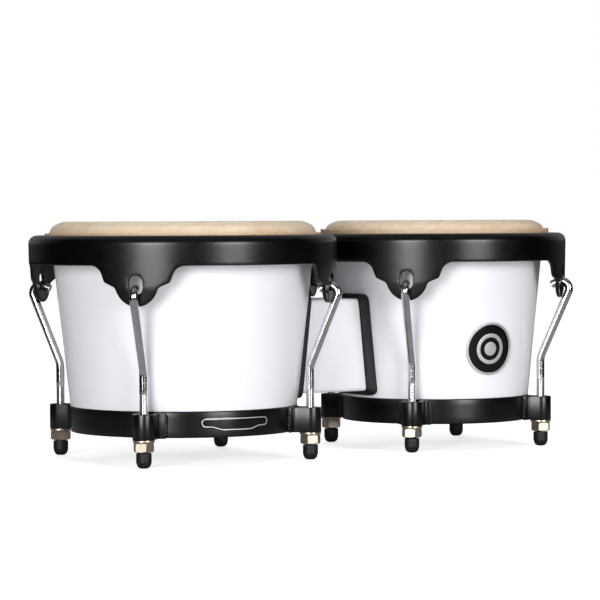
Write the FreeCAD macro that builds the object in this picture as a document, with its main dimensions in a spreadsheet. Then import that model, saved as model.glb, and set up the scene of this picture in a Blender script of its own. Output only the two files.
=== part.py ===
"""A pair of tunable bongo drums: a large and a small tapered shell joined by a centre block.

Millimetres, +Z up. X runs along the pair, from the large drum (hembra) to the small one (macho).
The drums stand at z = 0 on the rubber caps of their tuning rods.
"""
import FreeCAD, Part
import math
import os
import Sketcher

SIZES = {
    # places of the two drum axes along X, and the turn that puts a lug between the axes
    "hembra_place": -101.05, "macho_place": 112.55, "lug_turn": 45,
    # shells: outer radius at the ring's top and at the bearing edge, wall and edge
    "hembra_base_radius": 80.75, "hembra_edge_radius": 94.2,
    "macho_base_radius": 69.9, "macho_edge_radius": 81.6,
    "ring_base": 19.7, "ring_top": 37.7, "edge_height": 158.5, "shell_top": 166.8,
    "wall": 5.5, "rebate": 3.2, "edge_round": 8.5, "edge_slope": 7.5, "edge_width": 10.5,
    "collar_low": 138, "collar_high": 150,
    # bottom rings and what stands on them
    "ring_step": 0.25, "ring_lip": 2.5, "seat_gap": 0.15,
    "strap_base": 19.4, "strap_top": 37, "strap_radius": 7.75, "strap_wall": 2.2,
    "foot_reach": 4.3, "washer_radius": 7.5, "washer_hole": 3.4, "washer_base": 17.65,
    # rods, nuts and caps
    "hembra_rod_place": 93.2, "macho_rod_place": 80.5, "rod_radius": 3,
    "rod_base": 3.5, "rod_knee": 66, "knee_radius": 16,
    "hook_height": 117, "hook_radius": 5.8, "tail_length": 5, "tail_dip": 25,
    "nut_base": 11.1, "nut_top": 17.6, "nut_flats": 12.7, "nut_bore": 3.05, "nut_bevel": 0.9,
    "bevel_run": 1, "bevel_rise": 0.5,
    "cap_radius": 5.35, "cap_top": 10.4, "cap_bore": 3.1, "cap_flat": 2.6, "cap_dome": 4.2,
    "cap_gap": 0.1,
    # skins
    "skirt": 1.2, "skirt_base": 146, "head_top": 168.3,
    # counterhoops and their ears
    "hembra_rim_radius": 110, "macho_rim_radius": 98.5, "rim_wall": 2.6, "rim_round": 6,
    "rim_top": 158.7, "rim_base": 138.3, "rim_draft": 0.021, "rim_clearance": 3,
    "ear_base": 110.4, "ear_bend": 123, "ear_lean": 1.2, "ear_root": 33.5, "ear_root_radius": 9,
    "ear_neck": 26, "ear_neck_drop": 5.2,
    "ear_side": 24.4, "ear_side_drop": 9.3, "ear_corner": 22.2, "ear_corner_drop": 12,
    "ear_corner_radius": 3.2, "ear_step": 18.3, "ear_step_drop": 13.6, "ear_step_radius": 5,
    "ear_lobe": 14.8, "ear_lobe_drop": 16.9, "ear_lobe_radius": 15.5,
    "slot_half": 4.8, "slot_top": 131.9, "slot_base": 118.9,
    # hoop and rolled skin under each counterhoop
    "hoop_radius": 3, "roll_radius": 4.6, "roll_height": 150.8, "roll_gap": 0.7,
    # centre block, its pads and bolts
    "block_half": 21.7, "block_base": 43.3, "block_top": 111.3, "block_round": 3,
    "pad": 3, "pad_half": 25, "pad_base": 40, "pad_top": 114.6, "pad_round": 5, "pad_blank": 8,
    "bolt_low": 60, "bolt_high": 94, "bolt_radius": 3, "bolt_hole": 3.3, "bolt_slack": 0.05,
    "drill_reach": 200,
    "plate_half": 18, "plate_base": 51, "plate_top": 103, "plate_round": 4, "plate_blank": 20,
    "hembra_plate_face": 72.5, "macho_plate_face": 60.5,
    "bolt_head_flats": 10, "bolt_head": 4, "bolt_nut": 5, "bolt_stick": 2,
    # badge and name plate
    "badge_height": 74.3, "badge_radius": 19.3, "badge_face": 17.6, "badge_thick": 1.2,
    "badge_sunk": 0.84, "plate_reach": 100,
    "label_height": 28.8, "label_half": 26.4, "label_turn": -1.3,
    "label_half_height": 4.9, "label_thick": 0.9,
}
NAMES = ("hembra", "macho")
LUGS = 4
Z_AXIS = FreeCAD.Vector(0, 0, 1)

doc = FreeCAD.newDocument("bongo_drums")
sheet = doc.addObject("Spreadsheet::Sheet", "dims")
for row, (alias, size) in enumerate(SIZES.items(), start=1):
    sheet.set("A%d" % row, alias)
    sheet.set("B%d" % row, str(size))
    sheet.setAlias("B%d" % row, alias)
doc.recompute()
sub_parts = {}


# ---------------------------------------------------------------- helpers

def number(expression):
    """The value of an expression in the sheet's aliases."""
    return float(sheet.evalExpression(expression))


def bind(feature, prop, expression):
    feature.setExpression(prop, expression)


def body_plane(body, role):
    return [item for item in body.Origin.OriginFeatures if item.Role == role][0]


def new_sketch(body, name, role, height=None):
    """A sketch on one of the body's own planes, lifted off it by an expression."""
    sketch = body.newObject("Sketcher::SketchObject", name)
    sketch.AttachmentSupport = (body_plane(body, role), [""])
    sketch.MapMode = "FlatFace"
    if height:
        bind(sketch, "AttachmentOffset.Base.z", height)
    return sketch


def bound(sketch, expression, *constraint):
    """A dimension of the sketch, tied to the sheet."""
    index = sketch.addConstraint(Sketcher.Constraint(*constraint, number(expression)))
    bind(sketch, "Constraints[%d]" % index, expression)


def place_point(sketch, edge, end, across, along):
    """Ties a point of the sketch to its two distances from the origin."""
    for kind, axis, expression in (("DistanceX", -2, across), ("DistanceY", -1, along)):
        if abs(number(expression)) < 1e-9:
            sketch.addConstraint(Sketcher.Constraint("PointOnObject", edge, end, axis))
        else:
            bound(sketch, expression, kind, -1, 1, edge, end)


def circle(sketch, across, along, radius):
    centre = FreeCAD.Vector(number(across), number(along), 0)
    edge = sketch.addGeometry(Part.Circle(centre, Z_AXIS, number(radius)))
    place_point(sketch, edge, 3, across, along)
    bound(sketch, radius, "Radius", edge)


def arc_between(start, end, radius, left):
    """The arc from start to end, under half a turn, with its centre on the left or right."""
    middle = (start + end) * 0.5
    chord = end - start
    rise = math.sqrt(max(0, radius ** 2 - (chord.Length / 2) ** 2))
    side = FreeCAD.Vector(-chord.y, chord.x, 0).normalize() * (rise if left else -rise)
    centre = middle + side
    first, last = (start, end) if left else (end, start)
    angles = [math.atan2(p.y - centre.y, p.x - centre.x) for p in (first, last)]
    return Part.ArcOfCircle(Part.Circle(centre, Z_AXIS, radius), angles[0], angles[1])


def outline(sketch, corners):
    """A closed outline through corners (x, y) or, for an arc to the corner, (x, y, radius, side)."""
    points = [FreeCAD.Vector(number(c[0]), number(c[1]), 0) for c in corners]
    ends = []
    for index, corner in enumerate(corners):
        start, end = points[index - 1], points[index]
        if len(corner) == 2:
            edge = sketch.addGeometry(Part.LineSegment(start, end))
            ends.append((edge, 1, 2))
        else:
            left = corner[3] == "left"
            edge = sketch.addGeometry(arc_between(start, end, number(corner[2]), left))
            ends.append((edge, 1, 2) if left else (edge, 2, 1))
    for index, corner in enumerate(corners):
        edge, _, end = ends[index]
        following, start, _ = ends[(index + 1) % len(ends)]
        sketch.addConstraint(Sketcher.Constraint("Coincident", edge, end, following, start))
        place_point(sketch, edge, end, corner[0], corner[1])
        if len(corner) > 2:
            bound(sketch, corner[2], "Radius", edge)


def new_body(name):
    return doc.addObject("PartDesign::Body", name)


def revolve(body, name, corners):
    """A full turn of an outline in the XZ plane about Z."""
    sketch = new_sketch(body, name + "_section", "XZ_Plane")
    outline(sketch, corners)
    turn = body.newObject("PartDesign::Revolution", name + "_turn")
    turn.Profile = sketch
    turn.ReferenceAxis = (body_plane(body, "Z_Axis"), [""])
    turn.Angle = 360
    doc.recompute()
    return turn


def pad(body, name, sketch, length, centred=False, back=False):
    feature = body.newObject("PartDesign::Pad", name)
    feature.Profile = sketch
    bind(feature, "Length", length)
    feature.Midplane = centred
    feature.Reversed = back
    doc.recompute()
    return feature


def pocket(body, name, sketch, length, back=False):
    """Cuts the sketch into the body; a cut that takes nothing away is an error."""
    before = body.Shape.Volume
    feature = body.newObject("PartDesign::Pocket", name)
    feature.Profile = sketch
    bind(feature, "Length", length)
    feature.Reversed = back
    doc.recompute()
    if body.Shape.Volume > before - 1e-3:
        raise RuntimeError(name + " cuts nothing")
    return feature


def repeat(body, name, features, count=LUGS):
    """Repeats features evenly about the body's Z axis."""
    pattern = body.newObject("PartDesign::PolarPattern", name)
    pattern.Originals = features
    pattern.Axis = (body_plane(body, "Z_Axis"), [""])
    pattern.Angle = 360
    pattern.Occurrences = count
    body.Tip = pattern
    doc.recompute()
    return pattern


def cone(name, drum, inset, low, high):
    """A cone that follows the drum's wall, inset from its outer face, between two heights."""
    solid = doc.addObject("Part::Cone", name)
    bind(solid, "Radius1", "%s - (%s)" % (wall_radius(drum, low), inset))
    bind(solid, "Radius2", "%s - (%s)" % (wall_radius(drum, high), inset))
    bind(solid, "Height", "%s - %s" % (high, low))
    bind(solid, "Placement.Base.z", low)
    return solid


def boolean(kind, name, base, tool):
    result = doc.addObject("Part::" + kind, name)
    result.Base = base
    result.Tool = tool
    doc.recompute()
    return result


def keep(name, feature, drum=None, turn=None, lift=None):
    """Names a finished sub-part and puts it on its drum's axis."""
    feature.Label = name
    if drum:
        feature.Placement = FreeCAD.Placement(FreeCAD.Vector(), FreeCAD.Rotation(Z_AXIS, number(turn or "0")))
        bind(feature, "Placement.Base.x", "dims.%s_place" % drum)
    if lift:
        bind(feature, "Placement.Base.z", lift)
    sub_parts[name] = feature


def wall_radius(drum, height):
    """The outer radius of the drum's tapered wall at a height."""
    return ("(dims.{0}_base_radius + (dims.{0}_edge_radius - dims.{0}_base_radius)"
            " * ({1} - dims.ring_top) / (dims.edge_height - dims.ring_top))").format(drum, height)


# ---------------------------------------------------------------- shells and skins

def make_shell(drum):
    """Tapered shell: a rounded bearing edge at the top, a rebate for the ring at the bottom."""
    name = drum + "_shell"
    base, edge = "dims.%s_base_radius" % drum, "dims.%s_edge_radius" % drum
    low, shelf = "dims.ring_base + dims.ring_lip + dims.seat_gap", "dims.ring_top + dims.seat_gap"
    inner_top = edge + " - dims.edge_width"
    body = new_body(name)
    revolve(body, name, [
        (wall_radius(drum, low) + " - dims.wall", low),
        (base + " - dims.rebate", low),
        (base + " - dims.rebate", shelf),
        (wall_radius(drum, shelf), shelf),
        (edge, "dims.edge_height"),
        (edge + " - dims.edge_slope", "dims.shell_top", "dims.edge_round", "left"),
        (inner_top, "dims.shell_top"),
        (inner_top, "dims.collar_high"),
        (wall_radius(drum, "dims.collar_low") + " - dims.wall", "dims.collar_low"),
    ])
    side = 1 if drum == "hembra" else -1
    holes = new_sketch(body, name + "_bolt_holes", "YZ_Plane")
    for height in ("dims.bolt_low", "dims.bolt_high"):
        circle(holes, "0", height, "dims.bolt_hole")
    pocket(body, name + "_bolt_cut", holes, edge + " + dims.wall", back=side > 0)
    keep(name, body, drum)


def make_head(drum):
    """Skin stretched over the bearing edge: a flat crown and a skirt down the wall."""
    name = drum + "_head_skin"
    edge = "dims.%s_edge_radius" % drum
    gap = "dims.seat_gap"
    body = new_body(name)
    revolve(body, name, [
        ("0", "dims.shell_top + " + gap),
        (edge + " - dims.edge_slope", "dims.shell_top + " + gap),
        (edge + " + " + gap, "dims.edge_height", "dims.edge_round + " + gap, "right"),
        (wall_radius(drum, "dims.skirt_base") + " + " + gap, "dims.skirt_base"),
        (wall_radius(drum, "dims.skirt_base") + " + dims.skirt", "dims.skirt_base"),
        (edge + " + dims.skirt", "dims.edge_height"),
        (edge + " - dims.edge_slope", "dims.head_top", "dims.edge_round + dims.skirt", "left"),
        ("0", "dims.head_top"),
    ])
    keep(name, body, drum)


# ---------------------------------------------------------------- bottom rings and lugs

def make_bottom_ring(drum):
    """Steel band round the shell's foot, with a lip under the shell's end."""
    name = drum + "_bottom_ring"
    outer = "dims.%s_base_radius + dims.ring_step" % drum
    inner = "dims.%s_base_radius - dims.rebate + dims.seat_gap" % drum
    low = "dims.ring_base"
    lip = wall_radius(drum, "dims.ring_base") + " - dims.wall"
    body = new_body(name)
    revolve(body, name, [
        (lip, low), (outer, low), (outer, "dims.ring_top"), (inner, "dims.ring_top"),
        (inner, low + " + dims.ring_lip"), (lip, low + " + dims.ring_lip"),
    ])
    keep(name, body, drum)


def make_brackets(drum):
    """Four straps bent round the rods, with feet spread along the ring and welded to it."""
    name = drum + "_lug_brackets"
    ring = "(dims.%s_base_radius + dims.ring_step + dims.seat_gap / 3)" % drum
    centre = "dims.%s_rod_place" % drum
    outside, inside = "dims.strap_radius", "(dims.strap_radius - dims.strap_wall)"
    band = "(%s + dims.strap_wall)" % ring
    body = new_body(name)

    strap = new_sketch(body, name + "_strap_line", "XY_Plane", "dims.strap_base")
    legs = "(%s + dims.strap_wall / 2)" % ring
    tip = "sqrt(%s ^ 2 - %s ^ 2)"
    outline(strap, [
        (legs, "-" + outside), (centre, "-" + outside),
        (centre + " + " + outside, "0", outside, "left"),
        (centre, outside, outside, "left"), (legs, outside),
        (legs, inside), (centre, inside),
        (centre + " + " + inside, "0", inside, "right"),
        (centre, "-" + inside, inside, "right"), (legs, "-" + inside),
    ])
    height = "dims.strap_top - dims.strap_base"
    strap_pad = pad(body, name + "_strap", strap, height)

    feet = new_sketch(body, name + "_foot_line", "XY_Plane", "dims.strap_base")
    far = "(%s + dims.foot_reach)" % outside
    outline(feet, [
        (tip % (band, inside), inside),
        (tip % (band, far), far, band, "left"),
        (tip % (ring, far), far),
        (tip % (ring, inside), inside, ring, "right"),
    ])
    outline(feet, [
        (tip % (ring, inside), "-" + inside),
        (tip % (ring, far), "-" + far, ring, "right"),
        (tip % (band, far), "-" + far),
        (tip % (band, inside), "-" + inside, band, "left"),
    ])
    foot_pad = pad(body, name + "_feet", feet, height)
    repeat(body, name + "_four", [strap_pad, foot_pad])
    keep(name, body, drum, "dims.lug_turn")


def make_washers(drum):
    name = drum + "_lug_washers"
    centre = "dims.%s_rod_place" % drum
    body = new_body(name)
    sketch = new_sketch(body, name + "_line", "XY_Plane", "dims.washer_base")
    circle(sketch, centre, "0", "dims.washer_radius")
    circle(sketch, centre, "0", "dims.washer_hole")
    disc = pad(body, name + "_disc", sketch, "dims.strap_base - dims.washer_base")
    repeat(body, name + "_four", [disc])
    keep(name, body, drum, "dims.lug_turn")


# ---------------------------------------------------------------- counterhoop and what it pulls down

def make_rim(drum):
    """Pressed counterhoop: a rounded rim whose skirt reaches down as four slotted ears that
    lean in towards their tips."""
    name = drum + "_rim"
    outer = "dims.%s_rim_radius" % drum
    lip = "dims.%s_edge_radius + dims.skirt + dims.rim_clearance" % drum
    bend = "(%s - (dims.rim_top - dims.ear_bend) * dims.rim_draft)" % outer
    foot = "(%s - (dims.rim_top - dims.ear_base) * dims.rim_draft - dims.ear_lean)" % outer
    wall, turn = "dims.rim_wall", "dims.rim_round"
    body = new_body(name)
    revolve(body, name, [
        (foot + " - " + wall, "dims.ear_base"), (foot, "dims.ear_base"), (bend, "dims.ear_bend"),
        (outer, "dims.rim_top - " + turn),
        (outer + " - " + turn, "dims.rim_top", turn, "left"),
        (lip, "dims.rim_top"), (lip, "dims.rim_top - " + wall),
        (outer + " - " + turn, "dims.rim_top - " + wall),
        (outer + " - " + wall, "dims.rim_top - " + turn, turn + " - " + wall, "right"),
        (bend + " - " + wall, "dims.ear_bend"),
    ])

    def low(drop):
        return "dims.rim_base - " + drop

    reach = outer + " * 0.7072"
    edge = [
        ("dims.ear_root", "dims.rim_base"),
        ("dims.ear_neck", low("dims.ear_neck_drop"), "dims.ear_root_radius", "left"),
        ("dims.ear_side", low("dims.ear_side_drop")),
        ("dims.ear_corner", low("dims.ear_corner_drop"), "dims.ear_corner_radius", "right"),
        ("dims.ear_step", low("dims.ear_step_drop")),
        ("dims.ear_lobe", low("dims.ear_lobe_drop"), "dims.ear_step_radius", "left"),
    ]
    mirrored = [("-" + edge[-1][0], edge[-1][1], "dims.ear_lobe_radius", "right")]
    for inner, further in zip(edge[:0:-1], edge[-2::-1]):
        mirrored.append(("-" + further[0], further[1]) + tuple(inner[2:]))
    gap = new_sketch(body, name + "_ear_line", "YZ_Plane")
    below = "dims.ear_base - dims.rim_wall"
    outline(gap, [(reach, below), (reach, "dims.rim_base")] + edge + mirrored
            + [("-" + reach, "dims.rim_base"), ("-" + reach, below)])
    ears = pocket(body, name + "_between_ears", gap, outer + " + dims.rim_wall", back=True)

    slot = new_sketch(body, name + "_slot_line", "YZ_Plane")
    half = "dims.slot_half"
    top, bottom = "dims.slot_top - " + half, "dims.slot_base + " + half
    outline(slot, [
        (half, top), ("0", "dims.slot_top", half, "left"), ("-" + half, top, half, "left"),
        ("-" + half, bottom), ("0", "dims.slot_base", half, "left"), (half, bottom, half, "left"),
    ])
    slots = pocket(body, name + "_slot", slot, outer + " + dims.rim_wall", back=True)
    repeat(body, name + "_four", [ears, slots])
    keep(name, body, drum, "dims.lug_turn")


def roll_place(drum):
    """Radius of the circle that the hoop's centre line follows."""
    return "(%s + dims.skirt + dims.roll_gap + dims.roll_radius)" % wall_radius(drum, "dims.roll_height")


def make_hoop(drum):
    """Round steel hoop that the skin is lapped on."""
    hoop = doc.addObject("Part::Torus", drum + "_flesh_hoop")
    bind(hoop, "Radius1", roll_place(drum))
    bind(hoop, "Radius2", "dims.hoop_radius")
    doc.recompute()
    keep(drum + "_flesh_hoop", hoop, drum, lift="dims.roll_height")


def make_roll(drum):
    """The skin where it is lapped round the hoop: a hollow ring round the hoop."""
    name = drum + "_skin_roll"
    outer = doc.addObject("Part::Torus", name + "_outside")
    inner = doc.addObject("Part::Torus", name + "_inside")
    for torus, radius in ((outer, "dims.roll_radius"), (inner, "dims.hoop_radius + dims.seat_gap / 2")):
        bind(torus, "Radius1", roll_place(drum))
        bind(torus, "Radius2", radius)
    keep(name, boolean("Cut", name, outer, inner), drum, lift="dims.roll_height")


def hook_points(place, bend):
    """Centre line of a hook rod in the plane of its lug: tangent points, worked out from the
    rod's own place and the centre of the hook's bend."""
    knee = number("dims.rod_knee")
    across, rise = bend[0] - place, bend[1] - knee
    reach = math.hypot(across, rise)
    radius = number("dims.hook_radius")
    lean = math.atan2(across, rise) + math.asin(radius / reach)
    step = number("dims.knee_radius") * math.tan(lean / 2)
    dip = math.radians(number("dims.tail_dip"))
    tail = number("dims.tail_length")
    start = (place, number("dims.rod_base"))
    knee_in = (place, knee - step)
    knee_out = (place + step * math.sin(lean), knee + step * math.cos(lean))
    bend_in = (bend[0] + radius * math.cos(lean), bend[1] - radius * math.sin(lean))
    bend_out = (bend[0] - radius * math.sin(dip), bend[1] + radius * math.cos(dip))
    end = (bend_out[0] - tail * math.cos(dip), bend_out[1] - tail * math.sin(dip))
    return [FreeCAD.Vector(x, y, 0) for x, y in (start, knee_in, knee_out, bend_in, bend_out, end)]


def bend_place(drum):
    """Radius of the centre of the hook's bend: the middle of the ear's wall at that height."""
    return ("dims.%s_rim_radius - dims.rim_wall / 2"
            " - (dims.rim_top - dims.hook_height) * dims.rim_draft") % drum


def make_rods(drum):
    """Four round rods: upright below, leaning out above the knee, hooked over the ear's slot."""
    name = drum + "_hook_rods"
    place, bend = "dims.%s_rod_place" % drum, bend_place(drum)
    body = new_body(name)
    path = new_sketch(body, name + "_path", "XZ_Plane")
    start, knee_in, knee_out, bend_in, bend_out, end = hook_points(
        number(place), (number(bend), number("dims.hook_height")))
    upright = path.addGeometry(Part.LineSegment(start, knee_in))
    knee = path.addGeometry(arc_between(knee_in, knee_out, number("dims.knee_radius"), False))
    lean = path.addGeometry(Part.LineSegment(knee_out, bend_in))
    hook = path.addGeometry(arc_between(bend_in, bend_out, number("dims.hook_radius"), True))
    tail = path.addGeometry(Part.LineSegment(bend_out, end))
    for joint in ((upright, 2, knee, 2), (knee, 1, lean, 1), (lean, 2, hook, 1), (hook, 2, tail, 1)):
        path.addConstraint(Sketcher.Constraint("Tangent", *joint))
    place_point(path, upright, 1, place, "dims.rod_base")
    path.addConstraint(Sketcher.Constraint("Vertical", upright))
    place_point(path, hook, 3, bend, "dims.hook_height")
    bound(path, "dims.hook_radius", "Radius", hook)
    bound(path, "dims.knee_radius", "Radius", knee)
    bound(path, "dims.tail_length", "Distance", tail)
    round_line = new_sketch(body, name + "_round", "XY_Plane", "dims.rod_base")
    circle(round_line, place, "0", "dims.rod_radius")
    doc.recompute()
    pipe = body.newObject("PartDesign::AdditivePipe", name + "_bar")
    pipe.Profile = round_line
    pipe.Spine = (path, ["Edge%d" % (edge + 1) for edge in range(5)])
    doc.recompute()
    repeat(body, name + "_four", [pipe])
    keep(name, body, drum, "dims.lug_turn")


def make_caps(drum):
    """Rubber caps pushed on the rods' ends: the drum's feet."""
    name = drum + "_foot_caps"
    place, floor = "dims.%s_rod_place" % drum, "dims.rod_base - dims.cap_gap"
    body = new_body(name)
    section = new_sketch(body, name + "_section", "XZ_Plane")
    outline(section, [
        (place, "0"), (place + " + dims.cap_flat", "0"),
        (place + " + dims.cap_radius", "dims.cap_dome", "dims.cap_radius", "left"),
        (place + " + dims.cap_radius", "dims.cap_top"),
        (place + " + dims.cap_bore", "dims.cap_top"),
        (place + " + dims.cap_bore", floor),
        (place, floor),
    ])
    ends = [FreeCAD.Vector(number(place), number(height), 0) for height in ("dims.cap_top", "dims.nut_top")]
    axis = section.addGeometry(Part.LineSegment(*ends), True)
    place_point(section, axis, 1, place, "dims.cap_top")
    place_point(section, axis, 2, place, "dims.nut_top")
    cap = body.newObject("PartDesign::Revolution", name + "_turn")
    cap.Profile = section
    cap.ReferenceAxis = (section, ["Axis0"])
    cap.Angle = 360
    doc.recompute()
    repeat(body, name + "_four", [cap])
    keep(name, body, drum, "dims.lug_turn")


def hexagon(sketch, flats, across="0", along="0"):
    """A hexagon with two corners on the sketch's first axis."""
    corners = []
    for corner in range(6):
        turn = "%d deg" % (60 * corner)
        corners.append(("%s + %s / 2 / cos(30 deg) * cos(%s)" % (across, flats, turn),
                        "%s + %s / 2 / cos(30 deg) * sin(%s)" % (along, flats, turn)))
    outline(sketch, corners)


def make_nut(drum, lug):
    """Hexagon tuning nut with bevelled corners, on its own rod."""
    name = "%s_nut_%d" % (drum, lug + 1)
    body = new_body(name)
    hexed = new_sketch(body, name + "_hexagon", "XY_Plane", "dims.nut_base")
    hexagon(hexed, "dims.nut_flats")
    pad(body, name + "_block", hexed, "dims.nut_top - dims.nut_base")
    corner = "dims.nut_flats / 2 / cos(30 deg)"
    bevel = new_sketch(body, name + "_bevel_line", "XZ_Plane")
    for end, into in (("dims.nut_base", "+"), ("dims.nut_top", "-")):
        corners = [
            ("dims.nut_flats / 2", end),
            (corner + " + dims.bevel_run", end),
            (corner + " + dims.bevel_run", "%s %s (dims.nut_bevel + dims.bevel_rise)" % (end, into)),
            (corner, "%s %s dims.nut_bevel / 2" % (end, into)),
        ]
        outline(bevel, corners if into == "+" else corners[::-1])
    groove = body.newObject("PartDesign::Groove", name + "_bevel")
    groove.Profile = bevel
    groove.ReferenceAxis = (body_plane(body, "Z_Axis"), [""])
    groove.Angle = 360
    doc.recompute()
    hole = new_sketch(body, name + "_bore_line", "XY_Plane", "dims.nut_base")
    circle(hole, "0", "0", "dims.nut_bore")
    pocket(body, name + "_bore", hole, "dims.nut_top - dims.nut_base", back=True)
    body.Label = name
    body.Placement.Rotation = FreeCAD.Rotation(Z_AXIS, number("dims.lug_turn") + 90 * lug)
    bind(body, "Placement.Base.x",
         "dims.{0}_place + dims.{0}_rod_place * cos(1 deg * (dims.lug_turn + {1}))".format(drum, 90 * lug))
    bind(body, "Placement.Base.y",
         "dims.{0}_rod_place * sin(1 deg * (dims.lug_turn + {1}))".format(drum, 90 * lug))
    sub_parts[name] = body


# ---------------------------------------------------------------- centre block

def make_block():
    """The block between the drums: its ends lean with the two tapered walls."""
    left = "dims.hembra_place + %s + dims.pad + dims.seat_gap"
    right = "dims.macho_place - %s - dims.pad - dims.seat_gap"
    low, high = "dims.block_base", "dims.block_top"
    body = new_body("centre_block")
    sketch = new_sketch(body, "centre_block_line", "XZ_Plane")
    outline(sketch, [
        (left % wall_radius("hembra", low), low), (right % wall_radius("macho", low), low),
        (right % wall_radius("macho", high), high), (left % wall_radius("hembra", high), high),
    ])
    solid = pad(body, "centre_block_solid", sketch, "dims.block_half * 2", centred=True)
    round_long_edges(body, solid, "dims.block_round")
    drill_for_bolts(body)
    keep("centre_block", body)


def round_long_edges(body, solid, radius):
    """Rounds the four edges that run along the pair."""
    chosen = []
    for index, edge in enumerate(solid.Shape.Edges):
        run = edge.Vertexes[-1].Point - edge.Vertexes[0].Point
        if abs(run.x) > 0.9 * run.Length:
            chosen.append("Edge%d" % (index + 1))
    fillet = body.newObject("PartDesign::Fillet", body.Name + "_rounds")
    fillet.Base = (solid, chosen)
    bind(fillet, "Radius", radius)
    doc.recompute()


def drill_for_bolts(body):
    """Two holes along X for the block's bolts."""
    holes = new_sketch(body, body.Name + "_hole_line", "YZ_Plane", "-dims.drill_reach")
    for height in ("dims.bolt_low", "dims.bolt_high"):
        circle(holes, "0", height, "dims.bolt_hole")
    pocket(body, body.Name + "_holes", holes, "dims.drill_reach * 2", back=True)


def make_pad(drum):
    """Rubber pad between the block and a shell: flat against the block, hollow to the shell."""
    name = drum + "_block_pad"
    side = 1 if drum == "hembra" else -1
    low, high = "dims.pad_base", "dims.pad_top"
    body = new_body(name + "_blank")
    sketch = new_sketch(body, name + "_line", "XZ_Plane")
    sign = "" if side > 0 else "-"
    inner = sign + "(%s - dims.pad_blank)"
    outer = sign + "(%s + dims.pad)"
    corners = [
        (inner % wall_radius(drum, low), low), (outer % wall_radius(drum, low), low),
        (outer % wall_radius(drum, high), high), (inner % wall_radius(drum, high), high),
    ]
    outline(sketch, corners if side > 0 else corners[::-1])
    solid = pad(body, name + "_solid", sketch, "dims.pad_half * 2", centred=True)
    round_long_edges(body, solid, "dims.pad_round")
    drill_for_bolts(body)
    wall = cone(name + "_wall", drum, "-dims.seat_gap", "dims.ring_top", "dims.edge_height")
    keep(name, boolean("Cut", name, body, wall), drum)


def make_plate(drum):
    """Wedge plate inside a shell that gives the block's bolts a flat seat."""
    name = drum + "_bolt_plate"
    side = 1 if drum == "hembra" else -1
    body = new_body(name + "_blank")
    sign = "" if side > 0 else "-"
    face = new_sketch(body, name + "_line", "YZ_Plane", sign + "dims.%s_plate_face" % drum)
    half, low, high, turn = "dims.plate_half", "dims.plate_base", "dims.plate_top", "dims.plate_round"
    outline(face, [
        ("%s - %s" % (half, turn), low), (half, "%s + %s" % (low, turn), turn, "left"),
        (half, "%s - %s" % (high, turn)), ("%s - %s" % (half, turn), high, turn, "left"),
        ("%s - %s" % (turn, half), high), ("-" + half, "%s - %s" % (high, turn), turn, "left"),
        ("-" + half, "%s + %s" % (low, turn)), ("%s - %s" % (turn, half), low, turn, "left"),
    ])
    pad(body, name + "_solid", face, "dims.plate_blank", back=side < 0)
    drill_for_bolts(body)
    wall = cone(name + "_wall", drum, "dims.wall + dims.seat_gap", "dims.ring_top", "dims.edge_height")
    keep(name, boolean("Common", name, body, wall), drum)


def hexagon_prisms(name, start, length):
    """Two hexagons on the bolts' axes, from a place along X."""
    body = new_body(name)
    sketch = new_sketch(body, name + "_hexagons", "YZ_Plane", start)
    for height in ("dims.bolt_low", "dims.bolt_high"):
        hexagon(sketch, "dims.bolt_head_flats", "0", height)
    pad(body, name + "_prisms", sketch, length)
    return body


def make_bolts():
    """Two long bolts through both shells and the block, and their nuts."""
    head_face = "dims.hembra_place + dims.hembra_plate_face"
    nut_face = "dims.macho_place - dims.macho_plate_face"
    body = hexagon_prisms("block_bolts", head_face + " - dims.bolt_head", "dims.bolt_head")
    shank = new_sketch(body, "block_bolts_round", "YZ_Plane", head_face + " - dims.bolt_head / 2")
    for height in ("dims.bolt_low", "dims.bolt_high"):
        circle(shank, "0", height, "dims.bolt_radius")
    pad(body, "block_bolts_shanks", shank,
        nut_face + " - (" + head_face + ") + dims.bolt_head / 2 + dims.bolt_nut + dims.bolt_stick")
    keep("block_bolts", body)

    nuts = hexagon_prisms("block_nuts", nut_face, "dims.bolt_nut")
    bores = new_sketch(nuts, "block_nuts_bores", "YZ_Plane", nut_face)
    for height in ("dims.bolt_low", "dims.bolt_high"):
        circle(bores, "0", height, "dims.bolt_radius + dims.bolt_slack")
    pocket(nuts, "block_nuts_cut", bores, "dims.bolt_nut", back=True)
    keep("block_nuts", nuts)


# ---------------------------------------------------------------- badge and name plate

def curved_plate(name, drum, prism, lift, thickness):
    """The part of a prism that lies in a thin layer over the drum's wall."""
    outer = cone(name + "_over", drum, "-(%s + %s)" % (lift, thickness), "dims.ring_top", "dims.edge_height")
    inner = cone(name + "_under", drum, "-(%s)" % lift, "dims.ring_top", "dims.edge_height")
    raised = boolean("Common", name + "_raised", prism, outer)
    keep(name, boolean("Cut", name, raised, inner), drum)


def make_badge():
    """Round badge on the small drum's front: a face inside a raised metal ring."""
    body = new_body("macho_badge_blank")
    disc = new_sketch(body, "macho_badge_line", "XZ_Plane")
    circle(disc, "0", "dims.badge_height", "dims.badge_face - dims.seat_gap")
    pad(body, "macho_badge_prism", disc, "dims.plate_reach")
    curved_plate("macho_badge", "macho", body, "dims.seat_gap", "dims.badge_sunk")
    body = new_body("macho_badge_rim_blank")
    ring = new_sketch(body, "macho_badge_rim_line", "XZ_Plane")
    circle(ring, "0", "dims.badge_height", "dims.badge_radius")
    circle(ring, "0", "dims.badge_height", "dims.badge_face")
    pad(body, "macho_badge_rim_prism", ring, "dims.plate_reach")
    curved_plate("macho_badge_rim", "macho", body, "dims.seat_gap", "dims.badge_thick")


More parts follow.
